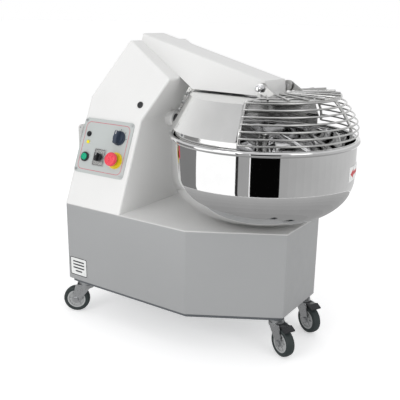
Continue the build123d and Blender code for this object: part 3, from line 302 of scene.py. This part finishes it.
def lathe(mesh, profile, place, around=96, closed=False):
    """Revolves (radius, height) points about the Z axis of a placing matrix."""
    rings = []
    for step in range(around):
        a = 2 * pi * step / around
        rings.append([mesh.verts.new(place @ Vector((r * cos(a), r * sin(a), h))) for r, h in profile])
    last = len(profile) if closed else len(profile) - 1
    for step in range(around):
        here, there = rings[step], rings[(step + 1) % around]
        for i in range(last):
            j = (i + 1) % len(profile)
            corners = [here[i], there[i], there[j], here[j]]
            mesh.faces.new(corners)
    return rings


def arc(cx, cy, rx, ry, start, end, steps):
    """Points along an ellipse arc, angles in degrees."""
    angles = [radians(start + (end - start) * i / steps) for i in range(steps + 1)]
    return [(cx + rx * cos(a), cy + ry * sin(a)) for a in angles]


def axis_place(centre, axis, up=Vector((0, 0, 1))):
    """Matrix whose Z lies along an axis at a centre."""
    z = Vector(axis).normalized()
    x = up.cross(z).normalized()
    y = z.cross(x)
    place = Matrix((x, y, z)).transposed().to_4x4()
    place.translation = centre
    return place


def middle(node):
    low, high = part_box(node)
    return (low + high) / 2


def slab(mesh, outline, thickness, place):
    """Closed plate from a flat outline, standing on the place's XY plane."""
    low = [mesh.verts.new(place @ Vector((x, y, 0))) for x, y in outline]
    high = [mesh.verts.new(place @ Vector((x, y, thickness))) for x, y in outline]
    mesh.faces.new(high)
    mesh.faces.new(list(reversed(low)))
    for i in range(len(outline)):
        j = (i + 1) % len(outline)
        mesh.faces.new([low[i], low[j], high[j], high[i]])


def ring_slab(mesh, outer, inner, thickness, place):
    """Closed plate between two outlines with the same number of points."""
    loops = []
    for outline, height in ((outer, 0), (outer, thickness), (inner, thickness), (inner, 0)):
        loops.append([mesh.verts.new(place @ Vector((x, y, height))) for x, y in outline])
    count = len(outer)
    for a, b in ((0, 1), (1, 2), (2, 3), (3, 0)):
        for i in range(count):
            j = (i + 1) % count
            mesh.faces.new([loops[a][i], loops[a][j], loops[b][j], loops[b][i]])


def rounded(width, height, corner, steps=8):
    """Outline of a rounded rectangle about the origin."""
    points = []
    for sx, sy, start in ((1, 1, 0), (-1, 1, 90), (-1, -1, 180), (1, -1, 270)):
        cx, cy = sx * (width / 2 - corner), sy * (height / 2 - corner)
        points += arc(cx, cy, corner, corner, start, start + 90, steps)
    return points


def stroke(width, low, high):
    """Outline of an upright bar of a width between two heights, in millimetres."""
    half = width / 2 * MM
    return [(-half, low * MM), (half, low * MM), (half, high * MM), (-half, high * MM)]


# ---------------------------------------------------------------- bowl
BOWL_R = 251 * MM
BOWL_WALL = 2.5 * MM
RIM_BEAD = 7.5 * MM
KNEE_A, KNEE_B = 150 * MM, 118 * MM


def spun_bowl():
    """Spun bowl with a rolled rim, smooth enough to mirror the room."""
    low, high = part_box("bowl")
    centre = middle("bowl")
    rim_z = high.z - RIM_BEAD
    knee_r, knee_z = BOWL_R - KNEE_A, low.z + KNEE_B
    wall = BOWL_WALL
    bead = arc(BOWL_R - 1 * MM, rim_z, RIM_BEAD, RIM_BEAD, -80, 235, 28)
    outer = [(POLE, low.z), (knee_r * 0.5, low.z)]
    outer += arc(knee_r, knee_z, KNEE_A, KNEE_B, 270, 360, 40)
    outer += [(BOWL_R, knee_z + (rim_z - RIM_BEAD - knee_z) * t) for t in (0.3, 0.6, 0.9)]
    inner = [(BOWL_R - wall, knee_z + (rim_z - RIM_BEAD - knee_z) * t) for t in (0.9, 0.6, 0.3)]
    inner += arc(knee_r, knee_z, KNEE_A - wall, KNEE_B - wall, 360, 270, 40)
    inner += [(knee_r * 0.5, low.z + wall), (POLE, low.z + wall)]
    mesh = bmesh.new()
    lathe(mesh, outer + bead + inner, Matrix.Translation((centre.x, centre.y, 0)), 256)
    piece("bowl_spun", mesh, mirror, "bowl", stands_for=("bowl",))


# ---------------------------------------------------------------- arrow sticker
STICKER_WIDTH = 88 * MM
STICKER_START = -91  # degrees round the bowl from +X
FILM_THICK, FILM_LIFT = 0.35 * MM, 0.1 * MM
ARROW_THICK, ARROW_LIFT = 0.1 * MM, 0.4 * MM


def on_bowl(angle, z, out):
    """Point on the outside of the bowl at an angle from +X, a little proud of it."""
    centre = middle("bowl")
    r = BOWL_R + out
    return Vector((centre.x + r * cos(angle), centre.y + r * sin(angle), z))


def bent_sheet(mesh, outline, start, z, thickness, lift):
    """Thin print bent round the bowl: outline x runs round it in metres, y runs up."""
    rings = []
    for out in (lift, lift + thickness):
        rings.append([mesh.verts.new(on_bowl(start + x / BOWL_R, z + y, out)) for x, y in outline])
    low, high = rings
    mesh.faces.new(high)
    mesh.faces.new(list(reversed(low)))
    for i in range(len(outline)):
        j = (i + 1) % len(outline)
        mesh.faces.new([low[i], low[j], high[j], high[i]])


def arrow_sticker():
    """White film bent round the bowl, with a plain red arrow printed on it."""
    low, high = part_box("arrow_sticker")
    z = (low.z + high.z) / 2
    height = high.z - low.z
    width = STICKER_WIDTH
    start_angle = radians(STICKER_START)
    mesh = bmesh.new()
    columns = 24
    for i in range(columns):
        a, b = width * i / columns, width * (i + 1) / columns
        strip = [(a, -height / 2), (b, -height / 2), (b, height / 2), (a, height / 2)]
        bent_sheet(mesh, strip, start_angle, z, FILM_THICK, FILM_LIFT)
    piece("arrow_film", mesh, film, "bowl", stands_for=("arrow_sticker",))
    mesh = bmesh.new()
    tip, head, tail = 0.10 * width, 0.34 * width, 0.90 * width
    steps = 8
    for i in range(steps):
        t0, t1 = i / steps, (i + 1) / steps
        a, b = tip + (head - tip) * t0, tip + (head - tip) * t1
        y0, y1 = 0.32 * height * t0, 0.32 * height * t1
        wedge = [(a, -y0 - 1e-5), (b, -y1), (b, y1), (a, y0 + 1e-5)]
        bent_sheet(mesh, wedge, start_angle, z, ARROW_THICK, ARROW_LIFT)
    for i in range(2 * steps):
        a = head + (tail - head) * i / (2 * steps)
        b = head + (tail - head) * (i + 1) / (2 * steps)
        y = 0.13 * height
        bent_sheet(mesh, [(a, -y), (b, -y), (b, y), (a, y)], start_angle, z, ARROW_THICK, ARROW_LIFT)
    piece("arrow_print", mesh, red_ink, "bowl")


# ---------------------------------------------------------------- panel prints
press = Vector(joints["estop_press"]["axis"])
out_of_panel = -press
panel_right = Vector((0, -1, 0))
panel_up = out_of_panel.cross(panel_right)


def on_panel(node, out):
    """Placing matrix on the panel in front of a node, X to the right of the reader and Y upwards."""
    low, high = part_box("control_plate")
    centre = (low + high) / 2
    target = middle(node)
    shift = target - centre
    place = Matrix((panel_right, panel_up, out_of_panel)).transposed().to_4x4()
    flat = panel_right * shift.dot(panel_right) + panel_up * shift.dot(panel_up)
    place.translation = centre + flat + out_of_panel * out
    return place


PLATE_HALF = 1.25 * MM
LABEL_PRINT = 0.13 * MM
PANEL_PRINT = 0.15 * MM
KNOB_PRINT = 0.12 * MM
PRINT_LIFT = 0.02 * MM
ROTARY_TOP = 21.0 * MM
SELECTOR_PLATE = 2.0 * MM
SELECTOR_TOP = 17.0 * MM


def panel_prints():
    # thin border line printed on the plate
    mesh = bmesh.new()
    place = on_panel("control_plate", PLATE_HALF)
    outer = rounded(166 * MM, 143 * MM, 16 * MM)
    inner = rounded(163 * MM, 140 * MM, 14.5 * MM)
    ring_slab(mesh, outer, inner, PANEL_PRINT, place)
    piece("panel_border", mesh, border_ink, "frame", smooth=False)
    # pointer on the round switch's bar, and its position marks on the plate
    mesh = bmesh.new()
    slab(mesh, stroke(1.8, 6, 16), PANEL_PRINT, on_panel("rotary_knob", PLATE_HALF + ROTARY_TOP))
    piece("rotary_pointer", mesh, white_ink, "rotary", smooth=False)
    mesh = bmesh.new()
    base = on_panel("rotary_base", PLATE_HALF + PRINT_LIFT)
    for angle in (0, -45, -90):
        turn = Matrix.Rotation(radians(angle), 4, "Z")
        slab(mesh, stroke(1.6, 23, 27), PANEL_PRINT, base @ turn)
    piece("rotary_marks", mesh, black_ink, "frame", smooth=False)
    # selector: printed frame and marks on its plate, and a pointer on its knob
    mesh = bmesh.new()
    plate = on_panel("selector_plate", PLATE_HALF + SELECTOR_PLATE + PRINT_LIFT)
    outer = rounded(38 * MM, 46 * MM, 3 * MM)
    inner = rounded(36 * MM, 44 * MM, 2 * MM)
    ring_slab(mesh, outer, inner, KNOB_PRINT, plate)
    for angle in (-45, 0, 45):
        turn = Matrix.Rotation(radians(angle), 4, "Z")
        slab(mesh, stroke(1.6, 14, 17), KNOB_PRINT, plate @ turn)
    piece("selector_legend", mesh, black_ink, "frame", smooth=False)
    mesh = bmesh.new()
    slab(mesh, stroke(1.4, 3, 11), KNOB_PRINT, on_panel("selector_knob", PLATE_HALF + SELECTOR_TOP))
    piece("selector_pointer", mesh, white_ink, "selector", smooth=False)


def label_prints():
    """Generic rating label: a rounded frame and plain bars in place of words."""
    low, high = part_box("label_plate")
    place = Matrix((Vector((0, -1, 0)), Vector((0, 0, 1)), Vector((-1, 0, 0)))).transposed().to_4x4()
    place.translation = Vector((low.x, (low.y + high.y) / 2, (low.z + high.z) / 2))
    width, height = high.y - low.y, high.z - low.z
    rim = 2.2 * MM
    mesh = bmesh.new()
    inner = rounded(width - 2 * rim, height - 2 * rim, 3.5 * MM)
    ring_slab(mesh, rounded(width, height, 5 * MM), inner, LABEL_PRINT, place)
    for row, length in ((0.27, 0.66), (0.10, 0.66), (-0.08, 0.66), (-0.26, 0.40)):
        bar = rounded(width * length, height * 0.075, 1 * MM, 3)
        slab(mesh, bar, LABEL_PRINT, place @ Matrix.Translation((0, row * height, 0)))
    piece("label_print", mesh, black_ink, "frame", smooth=False)


# ---------------------------------------------------------------- casters
def caster_wheel(corner):
    """Moulded hub with spokes and a rounded tyre on a caster's axle."""
    node = f"caster_wheel_{corner}"
    body = f"wheel_{corner}"
    joint = joints[f"roll_{corner}"]
    place = axis_place(middle(node), joint["axis"])
    low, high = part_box(node)
    radius = (high.z - low.z) / 2
    half = 12 * MM
    inner = 28 * MM
    tyre = [(inner, -half + 1 * MM), (inner + 2.5 * MM, -half)]
    tyre += arc(radius - 6 * MM, -half + 5 * MM, 5.2 * MM, 5 * MM, -90, -20, 8)
    tyre += arc(radius - 24 * MM, 0, 24 * MM, 24 * MM, -14, 14, 8)
    tyre += arc(radius - 6 * MM, half - 5 * MM, 5.2 * MM, 5 * MM, 20, 90, 8)
    tyre += [(inner + 2.5 * MM, half), (inner, half - 1 * MM)]
    mesh = bmesh.new()
    lathe(mesh, tyre, place, 96, closed=True)
    piece(f"tyre_{corner}", mesh, tyre_rubber, body, stands_for=(node,))
    bore = 5.05 * MM
    hub = [(bore, -13 * MM), (9 * MM, -13 * MM), (10 * MM, -12 * MM), (10.5 * MM, -6 * MM)]
    hub += arc(14 * MM, -5 * MM, 3 * MM, 1.5 * MM, 180, 270, 4)
    hub += [(21 * MM, -6.5 * MM), (23 * MM, -7 * MM), (24 * MM, -10.5 * MM), (27.9 * MM, -10.5 * MM)]
    mirrored = [(r, -h) for r, h in reversed(hub)]
    mesh = bmesh.new()
    lathe(mesh, hub + mirrored, place, 72, closed=True)
    for step in range(6):
        turn = Matrix.Rotation(radians(60 * step), 4, "Z")
        for side in (-1, 1):
            rib = [(10 * MM, -1.2 * MM), (24.5 * MM, -1.2 * MM), (24.5 * MM, 1.2 * MM), (10 * MM, 1.2 * MM)]
            base = Matrix.Translation((0, 0, side * 4.5 * MM))
            slab(mesh, rib, side * 4.5 * MM, place @ turn @ base)
    piece(f"hub_{corner}", mesh, hub_plastic, body)


# ---------------------------------------------------------------- stage, light and camera
ROOM_LIGHT = 0.95
CARD_LIFT = 1.5 * MM
CARD_REACH = 1.25
CARD_TOP = 0.9
FLOOR_GLOW = 0.42
FLOOR_REACH = 60.0


def floor():
    mesh = bmesh.new()
    reach = FLOOR_REACH
    corners = [(-reach, -reach), (reach, -reach), (reach, reach), (-reach, reach)]
    mesh.faces.new([mesh.verts.new((x, y, 0)) for x, y in corners])
    data = bpy.data.meshes.new("floor")
    mesh.to_mesh(data)
    mesh.free()
    obj = bpy.data.objects.new("floor", data)
    bpy.context.scene.collection.objects.link(obj)
    s = Surface("floor_paper")
    s.colour(s.mix(s.spread(s.noise(0.8, 2), 0, 1), (0.86, 0.86, 0.86), (0.88, 0.88, 0.88)))
    s.roughness(s.spread(s.noise(0.1), 0.75, 0.85))
    s.bump(s.noise(0.003, 2), 0.00005, 0.2)
    # lit from below like a light table, as in a catalogue picture
    s.shader.inputs["Emission Color"].default_value = (1, 1, 1, 1)
    s.shader.inputs["Emission Strength"].default_value = FLOOR_GLOW
    data.materials.append(s.material)


def card(name, mesh, strength):
    """Glowing sheet that shows only in reflections."""
    data = bpy.data.meshes.new(name)
    mesh.to_mesh(data)
    mesh.free()
    obj = bpy.data.objects.new(name, data)
    bpy.context.scene.collection.objects.link(obj)
    material = bpy.data.materials.new(name)
    material.use_nodes = True
    tree = material.node_tree
    tree.nodes.clear()
    glow = tree.nodes.new("ShaderNodeEmission")
    glow.inputs["Color"].default_value = (1, 1, 1, 1)
    glow.inputs["Strength"].default_value = strength
    output = tree.nodes.new("ShaderNodeOutputMaterial")
    tree.links.new(glow.outputs["Emission"], output.inputs["Surface"])
    data.materials.append(material)
    obj.visible_camera = False
    obj.visible_diffuse = False
    obj.visible_shadow = False


def studio_card(name, start, end, low, strength):
    """Curved card round the bowl that shows only in reflections, angles in degrees from +X."""
    centre = middle("bowl")
    mesh = bmesh.new()
    steps = 12
    edges = []
    for i in range(steps + 1):
        a = radians(start + (end - start) * i / steps)
        x, y = centre.x + CARD_REACH * cos(a), centre.y + CARD_REACH * sin(a)
        edges.append((mesh.verts.new((x, y, low)), mesh.verts.new((x, y, CARD_TOP))))
    for (a, b), (c, d) in zip(edges, edges[1:]):
        mesh.faces.new([a, c, d, b])
    card(name, mesh, strength)


def floor_card(name, inner, outer, strength):
    """Flat ring over the floor that dims it in the mirrors only."""
    centre = middle("bowl")
    mesh = bmesh.new()
    place = Matrix.Translation((centre.x, centre.y, 0))
    lathe(mesh, [(inner, CARD_LIFT), (outer, CARD_LIFT)], place, 48)
    card(name, mesh, strength)


def softbox(name, position, target, size, power):
    light = bpy.data.lights.new(name, "AREA")
    light.shape = "RECTANGLE"
    light.size, light.size_y = size
    light.energy = power
    obj = bpy.data.objects.new(name, light)
    obj.location = position
    direction = Vector(target) - Vector(position)
    obj.rotation_euler = direction.to_track_quat("-Z", "Y").to_euler()
    obj.visible_camera = False
    bpy.context.scene.collection.objects.link(obj)


def world_light():
    """Even white room, white at eye level and a little greyer overhead."""
    world = bpy.data.worlds.new("studio")
    bpy.context.scene.world = world
    world.use_nodes = True
    tree = world.node_tree
    tree.nodes.clear()
    coordinates = tree.nodes.new("ShaderNodeTexCoord")
    split = tree.nodes.new("ShaderNodeSeparateXYZ")
    ramp = tree.nodes.new("ShaderNodeValToRGB")
    ramp.color_ramp.elements[0].position = 0.55
    ramp.color_ramp.elements[0].color = (1, 1, 1, 1)
    ramp.color_ramp.elements[1].position = 0.95
    ramp.color_ramp.elements[1].color = (0.55, 0.55, 0.56, 1)
    shift = tree.nodes.new("ShaderNodeMapRange")
    shift.inputs["From Min"].default_value = -1
    shift.inputs["From Max"].default_value = 1
    # the camera sees the white paper behind the machine, and the surfaces a dimmer room
    path = tree.nodes.new("ShaderNodeLightPath")
    strength = tree.nodes.new("ShaderNodeMapRange")
    strength.inputs["To Min"].default_value = ROOM_LIGHT
    strength.inputs["To Max"].default_value = 1.0
    background = tree.nodes.new("ShaderNodeBackground")
    output = tree.nodes.new("ShaderNodeOutputWorld")
    tree.links.new(path.outputs["Is Camera Ray"], strength.inputs["Value"])
    tree.links.new(strength.outputs["Result"], background.inputs["Strength"])
    tree.links.new(coordinates.outputs["Generated"], split.inputs["Vector"])
    tree.links.new(split.outputs["Z"], shift.inputs["Value"])
    tree.links.new(shift.outputs["Result"], ramp.inputs["Fac"])
    tree.links.new(ramp.outputs["Color"], background.inputs["Color"])
    tree.links.new(background.outputs["Background"], output.inputs["Surface"])


# metres from the foot of the bowl's axis, degrees, and millimetres on a 36 mm film
CAMERA_FROM_BOWL = Vector((-1.4998, -0.7997, 0.8871))
CAMERA_AZIMUTH = -56.22
CAMERA_ELEVATION = 16.37
CAMERA_ROLL = 0.85
LENS = 56.8
FILM = 36


def photo_camera():
    """Camera at the photograph's place, turned and rolled as it was."""
    centre = middle("bowl")
    a, e, roll = radians(CAMERA_AZIMUTH), radians(CAMERA_ELEVATION), radians(CAMERA_ROLL)
    back = Vector((sin(a) * cos(e), -cos(a) * cos(e), sin(e)))
    right = (-back).cross(Vector((0, 0, 1))).normalized()
    up = back.cross(right)
    right, up = right * cos(roll) + up * sin(roll), up * cos(roll) - right * sin(roll)
    camera = bpy.data.cameras.new("camera")
    camera.lens = LENS
    camera.sensor_width = FILM
    camera.clip_end = 100
    obj = bpy.data.objects.new("camera", camera)
    place = Matrix((right, up, back)).transposed().to_4x4()
    place.translation = Vector((centre.x, centre.y, 0)) + CAMERA_FROM_BOWL
    obj.matrix_world = place
    bpy.context.scene.collection.objects.link(obj)
    bpy.context.scene.camera = obj


finish_nodes()
spun_bowl()
arrow_sticker()
panel_prints()
label_prints()
for corner in ("front_left", "front_right", "rear_left", "rear_right"):
    caster_wheel(corner)

floor()
world_light()
# what the mirrors see: name, from and to round the bowl in degrees, lower edge, strength
CARDS = (
    ("side_left_card", 96, 130, 0.01, 0.24),
    ("window_card", 130, 180, 0.03, 1.3),
    ("window_edge_card", 180, 183, 0.01, 0.03),
    ("wall_card", 183, 195, 0.01, 0.40),
    ("black_card", 196, 227, 0.02, 0.002),
)
for name, start, end, low, strength in CARDS:
    studio_card(name, start, end, low, strength)
# the wall to the right brightens slowly
WALL_START, WALL_STEP, WALL_CARDS = 227, 9, 14
for step in range(WALL_CARDS):
    start = WALL_START + WALL_STEP * step
    studio_card(f"front_card_{step}", start, start + WALL_STEP, 0.01, 0.44 + 0.02 * step)
FLOOR_CARDS = 8
for step in range(FLOOR_CARDS):
    inner = POLE + CARD_REACH * step / FLOOR_CARDS
    floor_card(f"floor_card_{step}", inner, CARD_REACH * (step + 1) / FLOOR_CARDS, 0.30 + 0.025 * step)
# name, position, target, size and power
softbox("key", (-4.2, 0.9, 2.4), (0, 0.2, 0.45), (2.6, 2.2), 44)
softbox("top", (0.2, -0.4, 3.4), (0, 0.1, 0.4), (2.6, 2.6), 12)
softbox("front", (-1.0, -3.6, 2.0), (0, 0, 0.5), (1.6, 2.0), 16)
photo_camera()
bpy.context.scene.view_settings.view_transform = "Standard"
